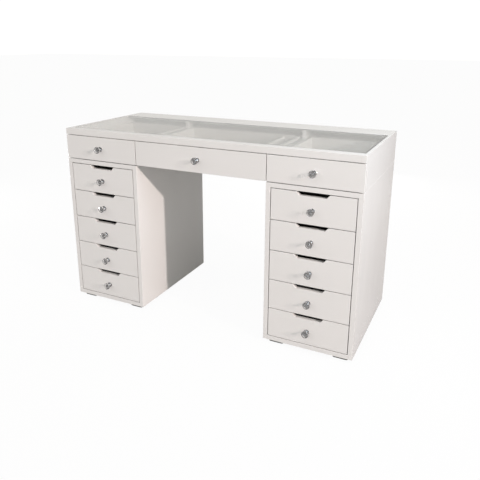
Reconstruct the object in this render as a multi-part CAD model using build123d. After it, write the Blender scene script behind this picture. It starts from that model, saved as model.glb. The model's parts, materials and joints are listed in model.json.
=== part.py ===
# A salon styling station: a white lacquered desk with a clear glass top over three wide
# display drawers, standing on two pedestals of five drawers each.
#
# Every board, pane, slide, knob and foot is its own solid. The desk stands on z = 0 with its
# drawers facing -Y. The origin is on the floor, in the middle of the whole object's box,
# knobs included. Lengths are in millimetres.

from build123d import *
from math import copysign, cos, radians, sin
import os

# Overall sizes
width = 1310
depth = 560  # from the faces of the drawer fronts to the rear
height = 800

# Boards and what goes between them
board = 18  # carcass boards
front_board = 18  # drawer fronts
box_board = 12  # sides and backs of the drawer boxes
drawer_bottom = 6
back_board = 9  # backs of the pedestals, set in rebates
thin_board = 12  # bottom and rear shelves of the tabletop unit
reveal = 3  # gap round every drawer front
groove_play = 0.5  # room left at the end of a tongue in its groove

# Tabletop unit
top_unit_height = 133
pedestal_width = 363
rail_height = 26  # front rail over the drawers
rail_depth = 46
pane = 6  # glass and rear deck
pane_play = 1  # gap round the glass
side_ledge = 6  # how far the glass and the deck lie on the sides
rail_ledge = 10  # how far the glass lies on the front rail
deck_depth = 126
rim_drop = 38  # from the table top down to the rims of the top drawers
partition_drop = 42  # from the table top down to the front part of the partitions
run_clearance = 7  # under the boxes of the top drawers
back_lead = 3  # the back of a top drawer stands this far ahead of the deck
shelf_space = 6  # between the back of a top drawer and the rear shelf
bar_flange = 24
bar_thickness = 3
bar_stem = 1.6
side_compartment = 60  # between the divider and the right side of the centre drawer
divider_board = 9
divider_drop = 6  # from the rims of the centre drawer down to its divider

# Pedestals
drawer_rows = 5
foot_height = 15
box_lift = 14  # from the lower edge of a pedestal front up to its box
box_top_drop = 24  # from the upper edge of a pedestal front down to the rim of its box
rear_space = 58  # between a pedestal drawer and the back

# Finger notch in the upper edge of each pedestal front
notch_top = 125
notch_bottom = 102
notch_depth = 13.5
notch_corner = 5

# Ball-bearing drawer slides
slide_gap = 12.7  # between a case and a drawer box
slide_height = 35
slide_sheet = 1.2
slide_lip = 5
slide_depth = 9.6
runner_height = 22
runner_depth = 8.8
slide_end_space = 25  # the slide is this much shorter than its drawer box
slide_setback = 4  # behind the drawer front

# Grooves for the drawer bottoms
groove_height = 8  # from the lower edge of a box board up to its groove
groove_depth = 6

# Crystal knob
knob_projection = 29
crystal_width = 28
crystal_length = 20
crystal_girdle = 4  # height of the band round its widest part
crystal_back = 11  # height of the pavilion, under the girdle
crystal_table = 15  # width of the flat on its face
half_facet_lead = 7  # the half-width facets end this much wider than the mains
rosette_width = 20
stem_width = 10
facets = 8

# Feet
foot_width = 72
foot_depth = 76
foot_side_inset = 14
foot_front_inset = 10
foot_draft = 22  # degrees
foot_chamfer = 8

# Bolts that hold the tabletop unit on the pedestals
bolt = 6
bolt_play = 0.25
bolt_head = 12
bolt_head_thickness = 4
bolt_inset = 60  # from the inner edges of the top board
bolt_end_space = 2  # the bolt stops this far under the face it would come through

# Places worked out from the sizes. Depths (d) run back from the faces of the drawer fronts.
front_y = (knob_projection - depth) / 2
side_x = width / 2
seam_x = side_x - pedestal_width  # inner faces of the pedestals and middle of the partitions
unit_z = height - top_unit_height
rail_z = height - rail_height
pane_z = height - pane
deck_d = depth - deck_depth
top_front_z = unit_z + reveal
top_front_height = rail_z - unit_z - 2 * reveal
top_box_z = unit_z + thin_board + run_clearance
top_box_height = height - rim_drop - top_box_z
top_box_depth = deck_d - front_board + box_board - back_lead
pedestal_opening = pedestal_width - 2 * board
opening_bottom = foot_height + board
opening_top = unit_z - board
row_height = (opening_top - opening_bottom - reveal) / drawer_rows
pedestal_front_height = row_height - reveal
pedestal_box_depth = depth - front_board - back_board - rear_space

nodes = {}


def add(name, *solids):
    nodes[name] = list(solids)


def slab(x0, x1, d0, d1, z0, z1):
    """A plain board between two widths, two depths and two heights."""
    centre = ((x0 + x1) / 2, front_y + (d0 + d1) / 2, (z0 + z1) / 2)
    return Pos(*centre) * Box(x1 - x0, d1 - d0, z1 - z0)


def across(outline, x0, x1):
    """An outline of (d, z) points, carried from x0 to x1."""
    face = make_face(Polyline(*outline, close=True))
    plane = Plane(origin=(x0, front_y, 0), x_dir=(0, 1, 0), z_dir=(1, 0, 0))
    return extrude(plane * face, amount=x1 - x0)


def upright(outline, z0, z1):
    """An outline of (x, d) points, carried from z0 to z1."""
    face = make_face(Polyline(*outline, close=True))
    return extrude(Plane(origin=(0, front_y, z0)) * face, amount=z1 - z0)


def rearward(outline, d0, d1):
    """An outline of (x, z) points, carried from d0 back to d1."""
    face = make_face(Polyline(*outline, close=True))
    plane = Plane(origin=(0, front_y + d1, 0), x_dir=(1, 0, 0), z_dir=(0, -1, 0))
    return extrude(plane * face, amount=d1 - d0)


def rod(x, d, z0, z1, diameter):
    """A round rod that stands upright from z0 to z1."""
    centre = (x, front_y + d, (z0 + z1) / 2)
    return Pos(*centre) * Cylinder(diameter / 2, z1 - z0)


def mirrored(solid):
    return mirror(solid, about=Plane.YZ)


# ---------------------------------------------------------------- tabletop unit


def tabletop_side():
    """Left side: its lower front is set back for the drawer front that covers it, and its
    inner top edge is rebated for the glass and the deck."""
    setback = front_board + reveal
    outline = [
        (0, height),
        (0, rail_z),
        (setback, rail_z),
        (setback, unit_z),
        (depth, unit_z),
        (depth, height),
    ]
    side = across(outline, -side_x, -side_x + board)
    inner = -side_x + board
    rebate_front = rail_depth - rail_ledge
    return side - slab(inner - side_ledge, inner, rebate_front, depth, pane_z, height)


def front_rail():
    outline = [
        (0, rail_z),
        (rail_depth, rail_z),
        (rail_depth, pane_z),
        (rail_depth - rail_ledge, pane_z),
        (rail_depth - rail_ledge, height),
        (0, height),
    ]
    return across(outline, -side_x + board, side_x - board)


def partition(x):
    """Stands between two bays. In front it is low, and at the rear it rises to carry the
    support bar and the deck."""
    bar_front = deck_d - bar_flange / 2
    bar_rear = deck_d + bar_flange / 2
    outline = [
        (front_board + reveal, unit_z + thin_board),
        (depth - board, unit_z + thin_board),
        (depth - board, pane_z),
        (bar_rear, pane_z),
        (bar_rear, pane_z - bar_thickness),
        (bar_front, pane_z - bar_thickness),
        (bar_front, height - partition_drop),
        (front_board + reveal, height - partition_drop),
    ]
    return across(outline, x - board / 2, x + board / 2)


def support_bar():
    """An inverted T: its flange carries the edges of the glass and the deck, and its stem
    stands between them."""
    low = pane_z - bar_thickness
    outline = [
        (deck_d - bar_flange / 2, low),
        (deck_d + bar_flange / 2, low),
        (deck_d + bar_flange / 2, pane_z),
        (deck_d + bar_stem / 2, pane_z),
        (deck_d + bar_stem / 2, height - bar_stem / 2),
        (deck_d - bar_stem / 2, height - bar_stem / 2),
        (deck_d - bar_stem / 2, pane_z),
        (deck_d - bar_flange / 2, pane_z),
    ]
    return across(outline, -side_x + board, side_x - board)


def rear_shelf(x0, x1):
    d0 = front_board + top_box_depth + shelf_space
    top = height - rim_drop
    return slab(x0, x1, d0, depth - board, top - thin_board, top)


def bolt_places():
    """(x, d) of the bolts, two in the top board of each pedestal."""
    x = side_x - pedestal_width / 2
    rear = depth - back_board - bolt_inset
    return [(s * x, d) for s in (-1, 1) for d in (front_board + bolt_inset, rear)]


def bolted(solid, z0, z1):
    """The board with the clearance holes of the bolts that pass through it."""
    for x, d in bolt_places():
        solid = solid - rod(x, d, z0, z1, bolt + 2 * bolt_play)
    return solid


inside = side_x - board
left_bay = (-inside, -seam_x - board / 2)
centre_bay = (-seam_x + board / 2, seam_x - board / 2)
right_bay = (seam_x + board / 2, inside)
pane_x = inside + side_ledge - pane_play
side = tabletop_side()
unit_bottom = slab(-inside, inside, front_board + reveal, depth - board, unit_z, unit_z + thin_board)
add("tabletop_left_side", side)
add("tabletop_right_side", mirrored(side))
add("tabletop_back", slab(-inside, inside, depth - board, depth, unit_z, pane_z))
add("tabletop_bottom", bolted(unit_bottom, unit_z, unit_z + thin_board))
add("tabletop_front_rail", front_rail())
add("tabletop_partitions", partition(-seam_x), partition(seam_x))
add("rear_shelves", *[rear_shelf(*bay) for bay in (left_bay, centre_bay, right_bay)])
add("glass_support_bar", support_bar())
deck_x = inside + side_ledge
add("rear_deck", slab(-deck_x, deck_x, deck_d + bar_stem / 2, depth, pane_z, height))
glass_front = rail_depth - rail_ledge + pane_play
glass_rear = deck_d - bar_stem / 2 - pane_play / 2
add("glass_top", slab(-pane_x, pane_x, glass_front, glass_rear, pane_z, height - pane_play / 2))


# ---------------------------------------------------------------- pedestals


def pedestal_side(outer_x, inner_x):
    """A side, rebated at its rear inner corner for the back."""
    turn = 1 if inner_x > outer_x else -1
    outline = [
        (outer_x, 0),
        (inner_x, 0),
        (inner_x, depth - back_board),
        (inner_x - turn * back_board, depth - back_board),
        (inner_x - turn * back_board, depth),
        (outer_x, depth),
    ]
    return upright(outline, foot_height, unit_z)


def pedestal_board(z0):
    """Top and bottom boards are alike and lie between the sides, in front of the back."""
    x0 = -side_x + board
    return slab(x0, x0 + pedestal_opening, 0, depth - back_board, z0, z0 + board)


def pedestal_back():
    x0 = -side_x + board - back_board
    x1 = x0 + pedestal_opening + 2 * back_board
    return slab(x0, x1, depth - back_board, depth, foot_height, unit_z)


outer_side = pedestal_side(-side_x, -side_x + board)
inner_side = pedestal_side(-seam_x, -seam_x - board)
top_board = bolted(pedestal_board(opening_top), opening_top, unit_z)
pedestal = {
    "outer_side": [outer_side],
    "inner_side": [inner_side],
    "back": [pedestal_back()],
    "top_and_bottom": [top_board, pedestal_board(foot_height)],
}
for piece, solids in pedestal.items():
    add("left_pedestal_" + piece, *solids)
    add("right_pedestal_" + piece, *[mirrored(s) for s in solids])


# ---------------------------------------------------------------- feet and bolts


def foot(x, d):
    """A pad with chamfered corners that narrows towards the floor."""
    plan = chamfer(Rectangle(foot_width, foot_depth).vertices(), foot_chamfer)
    top = Plane(origin=(x, front_y + d, foot_height), x_dir=(1, 0, 0), z_dir=(0, 0, -1))
    return extrude(top * plan, amount=foot_height, taper=foot_draft)


def case_bolt(x, d):
    """A hexagon bolt, put in from inside the pedestal."""
    head = RegularPolygon(bolt_head / 2, 6, major_radius=False)
    head = Pos(x, front_y + d, opening_top - bolt_head_thickness) * head
    head = extrude(head, amount=bolt_head_thickness)
    return head + rod(x, d, opening_top, unit_z + thin_board - bolt_end_space, bolt)


foot_x = side_x - foot_side_inset - foot_width / 2
foot_inner_x = seam_x + foot_side_inset + foot_width / 2
foot_d = foot_front_inset + foot_depth / 2
foot_places = [
    (s * x, d)
    for s in (-1, 1)
    for x in (foot_x, foot_inner_x)
    for d in (foot_d, depth - foot_d)
]
add("feet", *[foot(x, d) for x, d in foot_places])
add("case_bolts", *[case_bolt(x, d) for x, d in bolt_places()])


# ---------------------------------------------------------------- drawers


def channel(height_out, depth_out, lip):
    """Half-section points of a pressed channel: its web, flange and, if it has one, lip."""
    h = height_out / 2
    t = slide_sheet
    if lip:
        up = [(0, h), (depth_out, h), (depth_out, h - lip), (depth_out - t, h - lip)]
        up += [(depth_out - t, h - t), (t, h - t)]
    else:
        up = [(0, h), (depth_out, h), (depth_out, h - t), (t, h - t)]
    return up + [(x, -z) for x, z in reversed(up)]


def slide_member(section, wall_x, turn, z, d0, length):
    """A channel whose web lies on the wall at wall_x and which opens towards turn."""
    outline = [(wall_x + turn * x, z + dz) for x, dz in section]
    return rearward(outline, d0, d0 + length)


case_section = channel(slide_height, slide_depth, slide_lip)
runner_section = channel(runner_height, runner_depth, 0)


def drawer_front(x, z, front_width, front_height, notched):
    """The front and, if it has one, its finger notch."""
    half = front_width / 2
    panel = slab(x - half, x + half, 0, front_board, z, z + front_height)
    if notched:
        top = z + front_height
        outline = [
            (x - notch_top / 2, top),
            (x - notch_bottom / 2, top - notch_depth),
            (x + notch_bottom / 2, top - notch_depth),
            (x + notch_top / 2, top),
        ]
        notch = rearward(outline, 0, front_board)
        lower_edges = notch.edges().filter_by(Axis.Y).sort_by(Axis.Z)[:2]
        panel -= fillet(lower_edges, notch_corner)
    return panel


def knob_height(z, front_height, notched):
    """Halfway up the part of the front that is left under its notch."""
    return z + (front_height - (notch_depth if notched else 0)) / 2


def bottom_groove(x, box_z, box_width, box_depth, play=0):
    """The space that a drawer bottom takes in the front, sides and back of its drawer."""
    reach = box_width / 2 - box_board + groove_depth - play
    d0 = front_board - groove_depth + play
    d1 = front_board + box_depth - box_board + groove_depth - play
    z = box_z + groove_height
    return slab(x - reach, x + reach, d0, d1, z, z + drawer_bottom)


def drawer_box(x, z, box_width, box_height, box_depth):
    """Two sides, a back and a bottom that runs in grooves in all four boards round it."""
    half = box_width / 2
    inner = half - box_board
    d0 = front_board
    d1 = front_board + box_depth
    groove = bottom_groove(x, z, box_width, box_depth)
    left = slab(x - half, x - inner, d0, d1, z, z + box_height) - groove
    right = slab(x + inner, x + half, d0, d1, z, z + box_height) - groove
    back = slab(x - inner, x + inner, d1 - box_board, d1, z, z + box_height) - groove
    panel = bottom_groove(x, z, box_width, box_depth, groove_play)
    return [left, right, back, panel]


def centre_divider():
    """Stands on the bottom of the centre drawer, from its front to its back, and parts a
    narrow compartment off on the right."""
    x1 = centre_bay[1] - slide_gap - box_board - side_compartment
    d1 = front_board + top_box_depth - box_board
    z0 = top_box_z + groove_height + drawer_bottom
    z1 = top_box_z + top_box_height - divider_drop
    return slab(x1 - divider_board, x1, front_board, d1, z0, z1)


def ground(stone, turn, z, width, rise, end_width):
    """The stone with flat facets ground from its width at height z to end_width at z + rise."""
    out = width / 2
    run = out - end_width / 2
    for facet in range(facets):
        angle = radians(turn + facet * 360 / facets)
        origin = (out * cos(angle), out * sin(angle), z)
        normal = (abs(rise) * cos(angle), abs(rise) * sin(angle), copysign(run, rise))
        stone = split(stone, bisect_by=Plane(origin=origin, z_dir=normal), keep=Keep.BOTTOM)
    return stone


def blank(width, length):
    """A prism along +Z with a side for each facet that is ground on it."""
    outline = RegularPolygon(width / 2, 2 * facets, major_radius=False)
    return extrude(outline, amount=length)


def cut_stone():
    """Crystal along +Z. Mains and, turned against them, half-width facets meet in a girdle."""
    stone = blank(crystal_width, crystal_length)
    crown = crystal_length - crystal_back - crystal_girdle
    crown_z = crystal_length - crown
    for turn, lead in ((0, 0), (180 / facets, half_facet_lead)):
        stone = ground(stone, turn, crown_z, crystal_width, crown, crystal_table + lead)
        stone = ground(stone, turn, crystal_back, crystal_width, -crystal_back, stem_width + lead)
    return stone


def cut_rosette(rosette_height):
    """The faceted rosette under the crystal. It narrows from the drawer front to the stone."""
    rosette = blank(rosette_width, rosette_height)
    for turn in (0, 180 / facets):
        rosette = ground(rosette, turn, 0, rosette_width, rosette_height, stem_width)
    return rosette


def knob_parts():
    """Crystal and rosette, along +Z from the face of the drawer front."""
    stone_z = knob_projection - crystal_length
    return [Pos(0, 0, stone_z) * cut_stone(), cut_rosette(stone_z)]


def slides(x, z, box_width, box_height, box_depth):
    """The case members and the drawer members of a drawer's two slides."""
    middle = z + box_height / 2
    d0 = front_board + slide_setback
    length = box_depth - slide_end_space
    case_members = []
    drawer_members = []
    for side_of in (-1, 1):
        wall = x + side_of * (box_width / 2 + slide_gap)
        case_members.append(slide_member(case_section, wall, -side_of, middle, d0, length))
        wall = x + side_of * box_width / 2
        drawer_members.append(slide_member(runner_section, wall, side_of, middle, d0, length))
    return case_members, drawer_members


knob = knob_parts()
case_members = []


def drawer(name, front, bay, box, notched):
    """front is (x, z, width, height), bay is (x0, x1) and box is (z, height, depth)."""
    x, front_z, front_width, front_height = front
    box_z, box_height, box_depth = box
    bay_x = (bay[0] + bay[1]) / 2
    box_width = bay[1] - bay[0] - 2 * slide_gap
    panel = drawer_front(x, front_z, front_width, front_height, notched)
    panel -= bottom_groove(bay_x, box_z, box_width, box_depth)
    knob_z = knob_height(front_z, front_height, notched)
    face = Plane(origin=(x, front_y, knob_z), x_dir=(1, 0, 0), z_dir=(0, -1, 0))
    fixed, moving = slides(bay_x, box_z, box_width, box_height, box_depth)
    case_members.extend(fixed)
    add(name + "_front", panel)
    add(name + "_box", *drawer_box(bay_x, box_z, box_width, box_height, box_depth), *moving)
    add(name + "_knob", *[face * solid for solid in knob])


# Top drawers: their fronts cover the edges of the case from side to side.
outer_width = side_x - seam_x - reveal / 2
outer_x = (side_x + seam_x + reveal / 2) / 2
for name, x, front_width, bay in (
    ("top_left_drawer", -outer_x, outer_width, left_bay),
    ("top_centre_drawer", 0, 2 * seam_x - reveal, centre_bay),
    ("top_right_drawer", outer_x, outer_width, right_bay),
):
    front = (x, top_front_z, front_width, top_front_height)
    drawer(name, front, bay, (top_box_z, top_box_height, top_box_depth), False)
nodes["top_centre_drawer_box"].append(centre_divider())

# Pedestal drawers: their fronts lie between the sides, flush with them.
pedestal_box_height = pedestal_front_height - box_lift - box_top_drop
for side_name, side_of in (("left", -1), ("right", 1)):
    x = side_of * (side_x - pedestal_width / 2)
    bay = (x - pedestal_opening / 2, x + pedestal_opening / 2)
    for row in range(drawer_rows):
        z = opening_top - (row + 1) * row_height
        front = (x, z, pedestal_opening - 2 * reveal, pedestal_front_height)
        box = (z + box_lift, pedestal_box_height, pedestal_box_depth)
        drawer(f"{side_name}_drawer_{row + 1}", front, bay, box, True)
add("slide_case_members", *case_members)

os.makedirs("parts", exist_ok=True)
for name, solids in nodes.items():
    shape = solids[0] if len(solids) == 1 else Compound(children=solids)
    export_step(shape, f"parts/{name}.step")
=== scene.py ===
# A salon styling station: a white lacquered desk with a clear glass top over three shallow
# display drawers, on two pedestals of five drawers each. Boards, glass, channels and crystals
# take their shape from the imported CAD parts. Ball cages, rosettes and screws are modelled here.

import json
import math

import bmesh
import bpy
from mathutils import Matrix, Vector

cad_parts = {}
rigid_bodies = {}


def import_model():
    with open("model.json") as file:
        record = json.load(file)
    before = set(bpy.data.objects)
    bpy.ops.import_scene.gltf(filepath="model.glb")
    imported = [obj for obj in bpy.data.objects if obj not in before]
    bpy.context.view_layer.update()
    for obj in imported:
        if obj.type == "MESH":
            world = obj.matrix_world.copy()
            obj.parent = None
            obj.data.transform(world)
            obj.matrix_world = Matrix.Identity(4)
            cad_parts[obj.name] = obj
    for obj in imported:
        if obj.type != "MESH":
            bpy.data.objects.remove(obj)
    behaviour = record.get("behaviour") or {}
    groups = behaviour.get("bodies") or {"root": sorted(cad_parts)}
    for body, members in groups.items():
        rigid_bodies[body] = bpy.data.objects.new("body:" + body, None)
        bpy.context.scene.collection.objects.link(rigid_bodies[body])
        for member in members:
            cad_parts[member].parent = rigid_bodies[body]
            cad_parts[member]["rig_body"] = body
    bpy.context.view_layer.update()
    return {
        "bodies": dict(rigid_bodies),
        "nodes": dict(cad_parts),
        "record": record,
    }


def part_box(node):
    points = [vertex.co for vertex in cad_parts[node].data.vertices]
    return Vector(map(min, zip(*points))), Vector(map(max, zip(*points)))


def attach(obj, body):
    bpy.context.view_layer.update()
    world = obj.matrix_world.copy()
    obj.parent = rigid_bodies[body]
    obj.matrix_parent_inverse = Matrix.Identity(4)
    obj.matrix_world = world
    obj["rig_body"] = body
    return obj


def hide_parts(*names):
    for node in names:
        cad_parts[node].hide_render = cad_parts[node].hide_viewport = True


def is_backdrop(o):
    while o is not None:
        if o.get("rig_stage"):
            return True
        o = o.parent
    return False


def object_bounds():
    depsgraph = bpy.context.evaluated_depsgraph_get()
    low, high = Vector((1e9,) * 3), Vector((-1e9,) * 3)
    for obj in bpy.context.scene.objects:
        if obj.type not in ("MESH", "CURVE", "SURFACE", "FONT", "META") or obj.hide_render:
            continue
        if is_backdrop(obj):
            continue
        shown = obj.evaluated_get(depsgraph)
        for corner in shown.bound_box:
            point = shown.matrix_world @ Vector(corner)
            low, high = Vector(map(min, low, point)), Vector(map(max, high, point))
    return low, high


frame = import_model()
nodes = frame["nodes"]
bpy.context.scene.view_settings.view_transform = "Standard"


# ------------------------------------------------------------------ the lacquered case
# Fibreboard panels, sanded and sprayed with white gloss lacquer before the desk is put
# together. Each one keeps the CAD shape, with the sharp corners eased by the sander.


class Value:
    """A shader socket that sums can be written with. Each operator adds one Math node."""

    def __init__(self, finish, socket):
        self.finish = finish
        self.socket = socket

    def maths(self, operation, *values):
        """One Math node, fed with these values."""
        inputs = dict(enumerate(values))
        return self.finish.node("ShaderNodeMath", {"operation": operation}, inputs)

    def __add__(self, other):
        return self.maths("ADD", self, other)

    def __sub__(self, other):
        return self.maths("SUBTRACT", self, other)

    def __rsub__(self, other):
        return self.maths("SUBTRACT", other, self)

    def __mul__(self, other):
        return self.maths("MULTIPLY", self, other)

    __radd__ = __add__
    __rmul__ = __mul__

    def ramp(self, low, high):
        """0 at low and 1 at high, held within those two."""
        limits = {"Value": self, "From Min": low, "From Max": high}
        return self.finish.node("ShaderNodeMapRange", {"clamp": True}, limits)


class Finish:
    """A material and the nodes that make it."""

    def __init__(self, name, **plain):
        self.material = bpy.data.materials.new(name)
        self.material.use_nodes = True
        self.tree = self.material.node_tree
        self.shader = self.tree.nodes["Principled BSDF"]
        for socket, value in plain.items():
            self.shader.inputs[socket.replace("_", " ")].default_value = value

    def node(self, kind, settings=None, inputs=None, output=0):
        """A new node with these settings, and these values or links in its sockets."""
        made = self.tree.nodes.new(kind)
        for setting, value in (settings or {}).items():
            setattr(made, setting, value)
        for socket, value in (inputs or {}).items():
            self.put(made.inputs[socket], value)
        return Value(self, made.outputs[output])

    def put(self, socket, value):
        """Links a shader value to a socket, or sets the socket to a plain one."""
        if isinstance(value, Value):
            self.tree.links.new(value.socket, socket)
        else:
            socket.default_value = value

    def surface(self, **values):
        """Puts these values in the main shader's sockets."""
        for socket, value in values.items():
            self.put(self.shader.inputs[socket.replace("_", " ")], value)

    def place(self):
        """Where a point is on the desk with its drawers shut, in metres."""
        return self.node("ShaderNodeTexCoord", output="Object")

    def noise(self, scale, detail, stretch=(1, 1, 1), roughness=0.5):
        """Cloudy noise, finer as the scale grows, and drawn out along an axis by a small stretch."""
        stretched = self.node(
            "ShaderNodeMapping", inputs={"Vector": self.place(), "Scale": stretch}
        )
        inputs = {"Vector": stretched, "Scale": scale, "Detail": detail, "Roughness": roughness}
        return self.node("ShaderNodeTexNoise", inputs=inputs)

    def blend(self, factor, first, second):
        """The first colour where the factor is 0, and the second where it is 1."""
        inputs = {0: factor, 6: first, 7: second}
        return self.node("ShaderNodeMix", {"data_type": "RGBA"}, inputs, output=2)

    def bump(self, height, distance, normal=None):
        """Relief of this height, in metres, on top of any other relief."""
        inputs = {"Height": height, "Distance": distance}
        if normal:
            inputs["Normal"] = normal
        return self.node("ShaderNodeBump", inputs=inputs)

    def height(self):
        """How high above the floor a point is, in metres."""
        return self.node("ShaderNodeSeparateXYZ", inputs={0: self.place()}, output="Z")

    def mix_in(self, share, other):
        """Puts this share of another shader over the main one."""
        main = Value(self, self.shader.outputs[0])
        mixed = self.node("ShaderNodeMixShader", inputs={0: share, 1: main, 2: other})
        self.put(self.tree.nodes["Material Output"].inputs["Surface"], mixed)


def lacquer(name, tint, shaded):
    """Sprayed gloss lacquer: faint orange peel, wiping marks and a scuffed foot."""
    finish = Finish(name, Coat_Roughness=0.06, Coat_IOR=1.5)
    clouds = finish.noise(2.5, 3.0)
    marks = finish.noise(9.0, 4.0, stretch=(1, 1, 0.35), roughness=0.65)
    scuffs = finish.noise(55.0, 5.0, stretch=(1, 1, 2.5), roughness=0.7).ramp(0.56, 0.72)
    scuffed = scuffs * (1 - finish.height().ramp(0.03, 0.14))
    colour = finish.blend(clouds.ramp(0.35, 0.65), tint, shaded)
    worn = tuple(0.82 * part for part in shaded[:3]) + (1,)
    peel = finish.noise(260.0, 1.0)
    waves = finish.noise(22.0, 1.0)
    surface = finish.bump(peel, 0.000012, finish.bump(waves, 0.00004))
    finish.surface(
        Base_Color=finish.blend(scuffed * 0.5, colour, worn),
        Roughness=0.2 + marks.ramp(0.4, 0.75) * 0.03 + scuffed * 0.2,
        Coat_Weight=0.6 - scuffed * 0.4,
        Normal=surface,
    )
    return finish.material


def alone(piece):
    """Selects only this piece, and makes it active."""
    bpy.ops.object.select_all(action="DESELECT")
    piece.select_set(True)
    bpy.context.view_layer.objects.active = piece


def modified(piece, kind, **settings):
    """Adds a modifier and applies it."""
    alone(piece)
    modifier = piece.modifiers.new(kind, kind)
    for setting, value in settings.items():
        setattr(modifier, setting, value)
    bpy.ops.object.modifier_apply(modifier=modifier.name)


smooth_limit = math.radians(50)  # edges that turn by more than this stay sharp in the shading


def ease_edges(piece, width, segments=2, from_angle=20):
    """Rounds the edges that turn by more than this angle, and shades the flat faces flat."""
    turn = math.radians(from_angle)
    modified(piece, "BEVEL", width=width, segments=segments, limit_method="ANGLE", angle_limit=turn)
    bpy.ops.object.shade_smooth_by_angle(angle=smooth_limit)
    modified(piece, "WEIGHTED_NORMAL", keep_sharp=True)


def slot_of(node):
    """The material slot that the record gives a CAD node."""
    parts = frame["record"]["subparts"]
    return next(part["material_slot"] for part in parts if part["node"] == node)


merge_reach = 0.00001
flat_within = math.radians(0.5)


def cleaned(piece):
    """Takes a copied CAD mesh off its frame, with its loose triangles merged into faces."""
    for key in list(piece.keys()):
        del piece[key]
    piece.parent = None
    piece.data.materials.clear()
    alone(piece)
    bpy.ops.object.mode_set(mode="EDIT")
    bpy.ops.mesh.select_all(action="SELECT")
    bpy.ops.mesh.remove_doubles(threshold=merge_reach)
    bpy.ops.mesh.dissolve_limited(angle_limit=flat_within)
    bpy.ops.mesh.normals_make_consistent(inside=False)
    bpy.ops.object.mode_set(mode="OBJECT")
    return piece


def copied(node):
    """A clean copy of a CAD node."""
    alone(nodes[node])
    bpy.ops.object.duplicate()
    return cleaned(bpy.context.object)


def fitted(piece, name, body, material, node=None):
    """Names a finished piece, gives it the material if it has none, sets what it rides on, and hides
    the CAD node that it takes the place of.
    """
    piece.name = name
    piece.data.name = name
    if not piece.data.materials:
        piece.data.materials.append(material)
    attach(piece, body)
    if node:
        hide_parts(node)


def from_cad(node, name, material, edge, from_angle=20):
    """Puts a copy of a CAD node with eased edges in the place of the node."""
    body = nodes[node]["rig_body"]
    piece = copied(node)
    ease_edges(piece, edge, from_angle=from_angle)
    fitted(piece, name, body, material, node)


sprayed = (0.80, 0.79, 0.775, 1)
aged = (0.785, 0.775, 0.758, 1)
white = lacquer("white gloss lacquer", sprayed, aged)
panel_edge = 0.0004
square_corners = 60  # degrees, which leaves the walls of the bolt holes as they are
for node in nodes:
    if slot_of(node) == "white_lacquer" and "drawer" not in node:
        from_cad(node, node + "_panel", white, panel_edge, square_corners)


# ------------------------------------------------------------------ feet and case bolts
# Hard plastic pads with tapered sides, pinned under the corners of both pedestals, and the
# zinc-plated hexagon bolts that hold the tabletop unit down on them.

moulded = (0.15, 0.15, 0.145, 1)
darker_grey = (0.11, 0.108, 0.10, 1)
plastic = Finish("grey foot plastic")
grain = plastic.noise(900.0, 2.0)
# Blotches in the lowest 12 mm of each pad are darker, towards the floor.
darker_near_floor = plastic.noise(40.0, 4.0).ramp(0.45, 0.7) * (1 - plastic.height().ramp(0.002, 0.012))
plastic.surface(
    Base_Color=plastic.blend(darker_near_floor * 0.5, moulded, darker_grey),
    Roughness=0.42 + grain * 0.15,
    Normal=plastic.bump(grain, 0.00004),
)
foot_edge = 0.0012
from_cad("feet", "foot_pads", plastic.material, foot_edge)

bluish = (0.62, 0.64, 0.66, 1)
bright = (0.74, 0.745, 0.75, 1)
zinc = Finish("bright zinc plating", Metallic=1.0)
spangle = zinc.noise(320.0, 3.0)
streaks = zinc.noise(60.0, 3.0, stretch=(1, 0.06, 1))
zinc.surface(
    Base_Color=zinc.blend(spangle, bluish, bright),
    Roughness=0.26 + streaks * 0.2,
    Normal=zinc.bump(streaks, 0.00004),
)
zinc_edge = 0.0004
from_cad("case_bolts", "hexagon_bolts", zinc.material, zinc_edge)


# ------------------------------------------------------------------ rear shelves
# Melamine-faced board, edged with a thin strip. A shelf in each bay hides the gap between the
# back of its drawer and the back of the tabletop unit.


def melamine(name, tint, handled):
    """Paper-faced board: a fine pebbled print, a little darker where hands reach it."""
    finish = Finish(name)
    pebbles = finish.noise(1400.0, 2.0)
    handling = finish.noise(12.0, 4.0, roughness=0.65).ramp(0.5, 0.75)
    finish.surface(
        Base_Color=finish.blend(handling * 0.4, tint, handled),
        Roughness=0.38 + pebbles * 0.12,
        Normal=finish.bump(pebbles, 0.00003),
    )
    return finish.material


shelf_edge = 0.0005
# This melamine is painted lighter than the drawer boxes' board: painted light for shelves that sit in
# shade under the deck.
painted_light_shelf_melamine = melamine("white melamine", (0.86, 0.85, 0.835, 1), (0.80, 0.79, 0.77, 1))
from_cad("rear_shelves", "rear_shelf_boards", painted_light_shelf_melamine, shelf_edge)


# ------------------------------------------------------------------ drawer slides
# Roll-formed zinc-plated channels. The wide one is screwed to the case, and a cage of steel
# balls in it carries the narrow one, which is screwed to the side of the drawer box.


def reach(piece):
    """The lowest and the highest corner of a piece."""
    corners = [vertex.co for vertex in piece.data.vertices]
    low = Vector([min(corner[i] for corner in corners) for i in range(3)])
    high = Vector([max(corner[i] for corner in corners) for i in range(3)])
    return low, high


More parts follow.
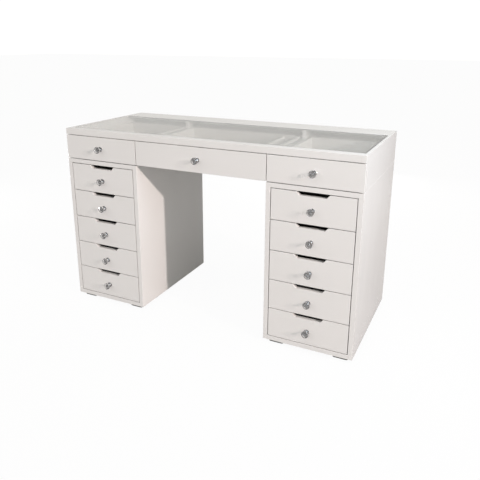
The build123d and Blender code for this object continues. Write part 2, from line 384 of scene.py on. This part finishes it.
def split_cad(node):
    """The solids of a CAD node as separate clean copies, also where they touch each other.
    A solid's triangles follow one another, and it ends where no edge of it is left open."""
    mesh = nodes[node].data
    solids = [set()]
    open_edges = set()
    for face in mesh.polygons:
        corners = [tuple(mesh.vertices[vertex].co) for vertex in face.vertices]
        for edge in zip(corners, corners[1:] + corners[:1]):
            if edge[::-1] in open_edges:
                open_edges.remove(edge[::-1])
            elif edge[0] != edge[1]:
                open_edges.add(edge)
        solids[-1].add(face.index)
        if not open_edges:
            solids.append(set())
    pieces = []
    for solid in solids[:-1]:
        alone(nodes[node])
        bpy.ops.object.duplicate()
        piece = bpy.context.object
        for face in piece.data.polygons:
            face.select = face.index not in solid
        bpy.ops.object.mode_set(mode="EDIT")
        bpy.ops.mesh.select_mode(type="FACE")
        bpy.ops.mesh.delete(type="FACE")
        bpy.ops.object.mode_set(mode="OBJECT")
        pieces.append(cleaned(piece))
    return pieces


def pick(kind, test):
    """In edit mode, selects the faces or edges whose middle and direction pass the test."""
    bpy.ops.mesh.select_mode(type=kind)
    bpy.ops.mesh.select_all(action="DESELECT")
    shape = bmesh.from_edit_mesh(bpy.context.edit_object.data)
    if kind == "FACE":
        for face in shape.faces:
            face.select_set(test(face.calc_center_median(), face.normal))
    else:
        for edge in shape.edges:
            first, second = (vertex.co for vertex in edge.verts)
            edge.select_set(test((first + second) / 2, (second - first).normalized()))
    bmesh.update_edit_mesh(bpy.context.edit_object.data)


def push(x=0.0, z=0.0):
    """Extrudes what is selected by this much."""
    bpy.ops.mesh.extrude_region_move(TRANSFORM_OT_translate={"value": (x, 0, z)})


def applied(piece, place, turn=(0, 0, 0)):
    """Moves and turns a piece, and puts that into its mesh."""
    alone(piece)
    piece.location = place
    piece.rotation_euler = turn
    bpy.ops.object.transform_apply(location=True, rotation=True, scale=True)
    return piece


def another(piece, place, turn=(0, 0, 0)):
    """A copy of a piece that was modelled at the origin, with its own mesh, put in its place."""
    alone(piece)
    bpy.ops.object.duplicate()
    return applied(bpy.context.object, place, turn)


steel = Finish("bearing steel", Metallic=1.0, Base_Color=(0.60, 0.60, 0.61, 1))
polish = steel.noise(500.0, 2.0)
steel.surface(Roughness=0.10 + polish * 0.10)

cage_length = 0.1
cage_lead = 0.006  # from the front end of the channel to the cage
cage_web = 0.0022  # from the wall of the case to the web of the cage
cage_depth = 0.0062
cage_sheet = 0.0005
cage_edge = 0.00012
ball_row = 0.01365  # from the middle of the channel up, and down, to a row of balls
ball_size = 0.0048
balls_in_row = 9

bpy.ops.object.select_all(action="DESELECT")
bpy.ops.mesh.primitive_plane_add(size=1)
cage = bpy.context.object
cage.scale = (2 * ball_row, cage_length, 1)
applied(cage, (cage_web, 0, 0), (0, math.radians(90), 0))
bpy.ops.object.mode_set(mode="EDIT")
pick("EDGE", lambda middle, way: middle.z > ball_row / 2)
push(x=cage_depth)
pick("EDGE", lambda middle, way: middle.z < -ball_row / 2 and middle.x < cage_web + cage_depth / 4)
push(x=cage_depth)
bpy.ops.mesh.select_all(action="SELECT")
bpy.ops.mesh.normals_make_consistent(inside=False)
bpy.ops.object.mode_set(mode="OBJECT")
modified(cage, "SOLIDIFY", thickness=cage_sheet, offset=0)
ease_edges(cage, cage_edge, 1)
cage.data.materials.append(zinc.material)

bpy.ops.object.select_all(action="DESELECT")
bpy.ops.mesh.primitive_uv_sphere_add(segments=8, ring_count=6, radius=ball_size / 2)
bpy.ops.object.shade_smooth()
first_ball = bpy.context.object
balls = []
for row in (-1, 1):
    for number in range(balls_in_row):
        y = cage_length * ((number + 0.5) / balls_in_row - 0.5)
        balls.append(another(first_ball, (cage_web + cage_depth / 2, y, row * ball_row)))
bpy.data.objects.remove(first_ball)
bpy.ops.object.select_all(action="DESELECT")
for ball in balls:
    ball.select_set(True)
bpy.context.view_layer.objects.active = balls[0]
bpy.ops.object.join()
ball_set = bpy.context.object
ball_set.data.materials.append(steel.material)

drawers = [body for body in frame["bodies"] if body != "root"]
slide_reach = 0.012  # the middle of a channel is nearer than this to the side of its drawer box


def owner_of(middle):
    """The drawer whose box a channel lies beside, and the side of the box that it is on."""
    for drawer in drawers:
        box_low, box_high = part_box(drawer + "_box")
        for hand, side in (("left", box_low.x), ("right", box_high.x)):
            if abs(middle.x - side) < slide_reach and box_low.z < middle.z < box_high.z:
                return drawer, hand


for channel in split_cad("slide_case_members"):
    low, high = reach(channel)
    middle = (low + high) / 2
    drawer, hand = owner_of(middle)
    name = f"{drawer}_{hand}"
    ease_edges(channel, zinc_edge)
    fitted(channel, name + "_slide_channel", "root", zinc.material, "slide_case_members")
    wall, turn = (low.x, 0) if hand == "left" else (high.x, math.radians(180))
    place = (wall, low.y + cage_lead + cage_length / 2, middle.z)
    new_cage = another(cage, place, (0, 0, turn))
    fitted(new_cage, name + "_ball_cage", "root", zinc.material)
    new_balls = another(ball_set, place, (0, 0, turn))
    fitted(new_balls, name + "_slide_balls", "root", steel.material)
bpy.data.objects.remove(cage)
bpy.data.objects.remove(ball_set)


# ------------------------------------------------------------------ drawer boxes
# Melamine board, edged all round: two sides and a back, with a thin bottom in their grooves.
# The centre drawer has a divider. The narrow slide channels are screwed to the sides.

# This melamine is painted darker than the shelves' board: painted shade for the drawer insides, seen
# in shade under the glass.
painted_shade_box_melamine = melamine("white melamine painted darker", (0.68, 0.665, 0.64, 1), (0.63, 0.615, 0.59, 1))
box_edge = 0.0004
thin = 0.01  # the bottom and the divider are thinner than this
shallow = 0.02  # the back is less than this from front to rear
low_strip = 0.03  # the slide channels are less high than this
for drawer in drawers:
    node = drawer + "_box"
    box_low, box_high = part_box(node)
    for solid in split_cad(node):
        low, high = reach(solid)
        size = high - low
        hand = "left" if low.x + high.x < box_low.x + box_high.x else "right"
        material = painted_shade_box_melamine
        if size.z < thin:
            part = "bottom"
        elif size.y < shallow:
            part = "back"
        elif size.z < low_strip:
            part = hand + "_runner"
            material = zinc.material
        elif size.x < thin:
            part = "divider"
        else:
            part = hand + "_side"
        ease_edges(solid, box_edge)
        fitted(solid, drawer + "_" + part, drawer, material, node)


# ------------------------------------------------------------------ drawer fronts
# Lacquered fibreboard. The fronts of the tabletop unit cover its case from side to side. The
# fronts of the pedestals lie between their sides and have a routed finger notch.

front_edge = 0.0008
for drawer in drawers:
    from_cad(drawer + "_front", drawer + "_lacquered_front", white, front_edge)


# ------------------------------------------------------------------ crystal knobs
# A cut and polished crystal, cemented on a turned chrome rosette. A pan-headed screw from
# inside the drawer holds it on the front.


def let_light_through(glass, tint):
    """Gives glass a plain tinted shadow, in place of the dark one of a refracting solid."""
    shadow_ray = glass.node("ShaderNodeLightPath", output="Is Shadow Ray")
    open_to_light = glass.node("ShaderNodeBsdfTransparent", inputs={0: tint})
    glass.mix_in(shadow_ray, open_to_light)


crystal = Finish("cut crystal", Transmission_Weight=1.0, IOR=1.4, Base_Color=(1, 1, 1, 1))
crystal.surface(Roughness=crystal.noise(300.0, 2.0).ramp(0.5, 0.8) * 0.02)
let_light_through(crystal, (0.80, 0.80, 0.80, 1))
chrome = Finish("chrome plating", Metallic=1.0)
smudges = chrome.noise(220.0, 4.0, roughness=0.7).ramp(0.45, 0.75)
chrome.surface(
    Base_Color=chrome.blend(smudges, (0.66, 0.665, 0.67, 1), (0.55, 0.55, 0.55, 1)),
    Roughness=0.05 + smudges * 0.12,
)


def width(piece):
    """How far a piece reaches from left to right."""
    low, high = reach(piece)
    return high.x - low.x


first_knob = split_cad(drawers[0] + "_knob")
stone = max(first_knob, key=width)
stem_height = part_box(drawers[0] + "_front")[0].y - reach(stone)[1].y
for solid in first_knob:
    bpy.data.objects.remove(solid)

rosette_radius = 0.0108
stem_radius = 0.0046
rim_height = 0.0014
flare_height = stem_height - rim_height
flare_steps = 10
turned_edge = 0.0003
bpy.ops.object.select_all(action="DESELECT")
bpy.ops.mesh.primitive_cylinder_add(vertices=40, radius=rosette_radius, depth=rim_height)
rosette = applied(bpy.context.object, (0, 0, rim_height / 2))
bpy.ops.object.mode_set(mode="EDIT")
pick("FACE", lambda middle, way: way.z > 0.9)
radius = rosette_radius
height = 0
for step in range(1, flare_steps + 1):
    angle = math.radians(90 * step / flare_steps)
    narrowed = stem_radius + (rosette_radius - stem_radius) * (1 - math.sin(angle))
    raised = flare_height * (1 - math.cos(angle))
    push(z=raised - height)
    bpy.ops.transform.resize(value=(narrowed / radius, narrowed / radius, 1))
    radius = narrowed
    height = raised
bpy.ops.object.mode_set(mode="OBJECT")
ease_edges(rosette, turned_edge)
rosette.data.materials.append(chrome.material)

bush_radius = 0.0062
bush_depth = 0.0095
bush_gap = 0.0004  # between the neck of the rosette and the bush
dome_inset = 0.0022
dome_height = 0.0012
dome_taper = 0.7
bpy.ops.object.select_all(action="DESELECT")
bpy.ops.mesh.primitive_cylinder_add(vertices=24, radius=bush_radius, depth=bush_depth)
bush = applied(bpy.context.object, (0, 0, stem_height + bush_gap + bush_depth / 2))
bpy.ops.object.mode_set(mode="EDIT")
pick("FACE", lambda middle, way: way.z < -0.9)
bpy.ops.transform.resize(value=(stem_radius / bush_radius, stem_radius / bush_radius, 1))
pick("FACE", lambda middle, way: way.z > 0.9)
bpy.ops.mesh.inset(thickness=dome_inset)
push(z=dome_height)
bpy.ops.transform.resize(value=(dome_taper, dome_taper, 1))
bpy.ops.object.mode_set(mode="OBJECT")
ease_edges(bush, turned_edge)
bush.data.materials.append(chrome.material)

screw_radius = 0.0042
screw_height = 0.0026
screw_rounding = 0.0009
screw_smoothing = math.radians(35)
recess_length = 1.25 * screw_radius
recess_width = 0.00085
recess_depth = 0.00055
bpy.ops.object.select_all(action="DESELECT")
bpy.ops.mesh.primitive_cylinder_add(vertices=20, radius=screw_radius, depth=screw_height)
screw = applied(bpy.context.object, (0, 0, screw_height / 2))
modified(screw, "BEVEL", width=screw_rounding, segments=3, limit_method="ANGLE")
for degrees in (0, 90):
    bpy.ops.object.select_all(action="DESELECT")
    bpy.ops.mesh.primitive_cube_add(size=1)
    recess = bpy.context.object
    recess.scale = (recess_length, recess_width, 2 * recess_depth)
    applied(recess, (0, 0, screw_height), (0, 0, math.radians(degrees)))
    modified(screw, "BOOLEAN", object=recess, operation="DIFFERENCE", solver="EXACT")
    bpy.data.objects.remove(recess)
alone(screw)
bpy.ops.object.shade_smooth_by_angle(angle=screw_smoothing)
screw.data.materials.append(zinc.material)

stone_edge = 0.00015
facing_front = (math.radians(90), 0, 0)
facing_rear = (math.radians(-90), 0, 0)
for drawer in drawers:
    node = drawer + "_knob"
    low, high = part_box(node)
    middle = (low + high) / 2
    front_low, front_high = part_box(drawer + "_front")
    solids = split_cad(node)
    stone = max(solids, key=width)
    solids.remove(stone)
    for solid in solids:
        bpy.data.objects.remove(solid)
    ease_edges(stone, stone_edge, 1)
    fitted(stone, drawer + "_crystal", drawer, crystal.material, node)
    place = (middle.x, front_low.y, middle.z)
    base = another(rosette, place, facing_front)
    fitted(base, drawer + "_rosette", drawer, chrome.material, node)
    core = another(bush, place, facing_front)
    fitted(core, drawer + "_knob_bush", drawer, chrome.material, node)
    place = (middle.x, front_high.y, middle.z)
    head = another(screw, place, facing_rear)
    fitted(head, drawer + "_knob_screw", drawer, zinc.material)
bpy.data.objects.remove(rosette)
bpy.data.objects.remove(bush)


# ------------------------------------------------------------------ screws of the backs
# Pan-headed zinc-plated screws along the upright edges of the two thin pedestal backs. They
# pull each back into the rebates of its pedestal's sides.

edge_inset = 0.0045
end_inset = 0.04
screws_in_row = 6
for side in ("left", "right"):
    low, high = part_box(side + "_pedestal_back")
    pitch = (high.z - low.z - 2 * end_inset) / (screws_in_row - 1)
    for row in range(screws_in_row):
        z = low.z + end_inset + row * pitch
        for hand, x in (("outer", low.x + edge_inset), ("inner", high.x - edge_inset)):
            head = another(screw, (x, high.y, z), facing_rear)
            name = f"{side}_back_{hand}_screw_{row + 1}"
            fitted(head, name, "root", zinc.material)
bpy.data.objects.remove(screw)


# ------------------------------------------------------------------ the glass top
# One pane of clear toughened glass with polished edges. It lies in the rebates of the front
# rail and the sides, and its rear edge lies on the flange of an aluminium bar.

anodised = Finish("satin anodised aluminium", Metallic=1.0, Base_Color=(0.77, 0.77, 0.78, 1))
drawn = anodised.noise(90.0, 3.0, stretch=(0.02, 1, 1))
anodised.surface(
    Roughness=0.3 + drawn * 0.12,
    Normal=anodised.bump(drawn, 0.00003),
)
bar_edge = 0.00025
from_cad("glass_support_bar", "aluminium_support_bar", anodised.material, bar_edge)

clear = Finish(
    "clear toughened glass",
    Base_Color=(0.87, 0.875, 0.865, 1),
    Transmission_Weight=1.0,
    IOR=1.75,
)
wiped = clear.noise(14.0, 5.0, stretch=(1, 0.4, 1), roughness=0.7)
clear.surface(Roughness=wiped.ramp(0.55, 0.8) * 0.03)
let_light_through(clear, (0.80, 0.80, 0.79, 1))
arris = 0.0006
from_cad("glass_top", "glass_pane", clear.material, arris)

# The upright edge faces of the pane get an opaque dark green-grey: painted shade for the dark line
# that a glass edge shows through the pane.
painted_dark_edge = Finish("polished glass edge painted dark")
ground = painted_dark_edge.noise(700.0, 2.0, stretch=(1, 1, 8))
painted_dark_edge.surface(
    Base_Color=painted_dark_edge.blend(ground, (0.10, 0.12, 0.11, 1), (0.16, 0.18, 0.165, 1)),
    Roughness=0.12 + ground * 0.1,
)
pane = bpy.data.objects["glass_pane"]
pane.data.materials.append(painted_dark_edge.material)
for face in pane.data.polygons:
    upright = abs(face.normal.z) < 0.2
    face.material_index = 1 if upright else 0


# ------------------------------------------------------------------ floor, light and camera
# A plain white floor and sky, a lamp low on the right that reaches in under the desk, and
# soft lights at its right side, in front, behind and on the left.

floor_width = 60
floor_glow = 1.06
glow_share = 0.9
floor_paint = Finish("white studio floor", Base_Color=(0.30, 0.30, 0.30, 1), Roughness=0.9)
seen = floor_paint.node("ShaderNodeLightPath", output="Is Camera Ray")
glow = floor_paint.node("ShaderNodeEmission", inputs={0: (1, 1, 1, 1), 1: floor_glow})
floor_paint.mix_in(seen * glow_share, glow)
bpy.ops.object.select_all(action="DESELECT")
bpy.ops.mesh.primitive_plane_add(size=floor_width)
floor = bpy.context.object
floor.name = "studio_floor"
floor.data.materials.append(floor_paint.material)
floor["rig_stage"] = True

world = bpy.data.worlds.new("white sky")
bpy.context.scene.world = world
world.use_nodes = True
sky = world.node_tree


def sky_node(kind, inputs=None):
    """A new node of the sky, with these values or links in its sockets."""
    made = sky.nodes.new(kind)
    for name, value in (inputs or {}).items():
        if isinstance(value, bpy.types.NodeSocket):
            sky.links.new(value, made.inputs[name])
        else:
            made.inputs[name].default_value = value
    return made


# Glass and gloss mirror the bright sky behind the desk. The sky in front lights its surfaces.
rays = sky_node("ShaderNodeLightPath")
direction = sky_node("ShaderNodeTexCoord")
parts = sky_node("ShaderNodeSeparateXYZ", {0: direction.outputs["Generated"]})
limits = {"Value": parts.outputs["Y"], "From Min": -0.1, "From Max": 0.25}
mirrored = sky_node("ShaderNodeMapRange", {**limits, "To Min": 0.15, "To Max": 0.74})
spread = sky_node("ShaderNodeMapRange", {**limits, "To Min": 0.90, "To Max": 0.21})
unseen = sky_node(
    "ShaderNodeMix", {0: rays.outputs["Is Diffuse Ray"], 2: mirrored.outputs[0], 3: spread.outputs[0]}
)
backdrop = 1.1
strength = sky_node(
    "ShaderNodeMix", {0: rays.outputs["Is Camera Ray"], 2: unseen.outputs[0], 3: backdrop}
)
sky.links.new(strength.outputs[0], sky.nodes["Background"].inputs["Strength"])
sky.nodes["Background"].inputs["Color"].default_value = (1, 0.985, 0.95, 1)


desk_centre = Vector((0, 0, 0.4))


def soft_light(name, towards, distance, size, share, colour):
    """A square lamp that gives a white surface facing it this share of full white."""
    bpy.ops.object.light_add(type="AREA", location=desk_centre + Vector(towards) * distance)
    lamp = bpy.context.object
    lamp.name = name
    lamp.rotation_euler = Vector(towards).to_track_quat("Z", "Y").to_euler()
    lamp.data.size = size
    lamp.data.energy = share * (math.pi * distance) ** 2
    lamp.data.color = colour


warm = (1, 0.99, 0.97)
soft_light("low_lamp", (0.893, -0.324, 0.313), 8, size=0.2, share=0.67, colour=(1, 0.87, 0.83))
soft_light("side_light", (0.80, -0.20, 0.565), 1.72, size=0.7, share=0.34, colour=(0.79, 0.90, 1))
soft_light("front_light", (-0.38, -0.90, 0.22), 3.8, size=1.6, share=0.11, colour=(0.96, 0.94, 1))
soft_light("rear_light", (-0.105, 0.994, -0.025), 2.84, size=0.7, share=0.50, colour=warm)
soft_light("left_light", (-0.999, 0.03, -0.02), 3.0, size=0.7, share=0.40, colour=warm)

camera_data = bpy.data.cameras.new("camera")
camera = bpy.data.objects.new("camera", camera_data)
bpy.context.scene.collection.objects.link(camera)
camera_pitch = 16.85
camera_turn = 26.25
camera.rotation_euler = (math.radians(90 - camera_pitch), 0, math.radians(camera_turn))
camera.location = (1.030, -2.0524, 1.180)
camera_data.lens = 40.5
camera_data.shift_x = 0.0185
camera_data.shift_y = -0.0823
bpy.context.scene.camera = camera

low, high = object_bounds()
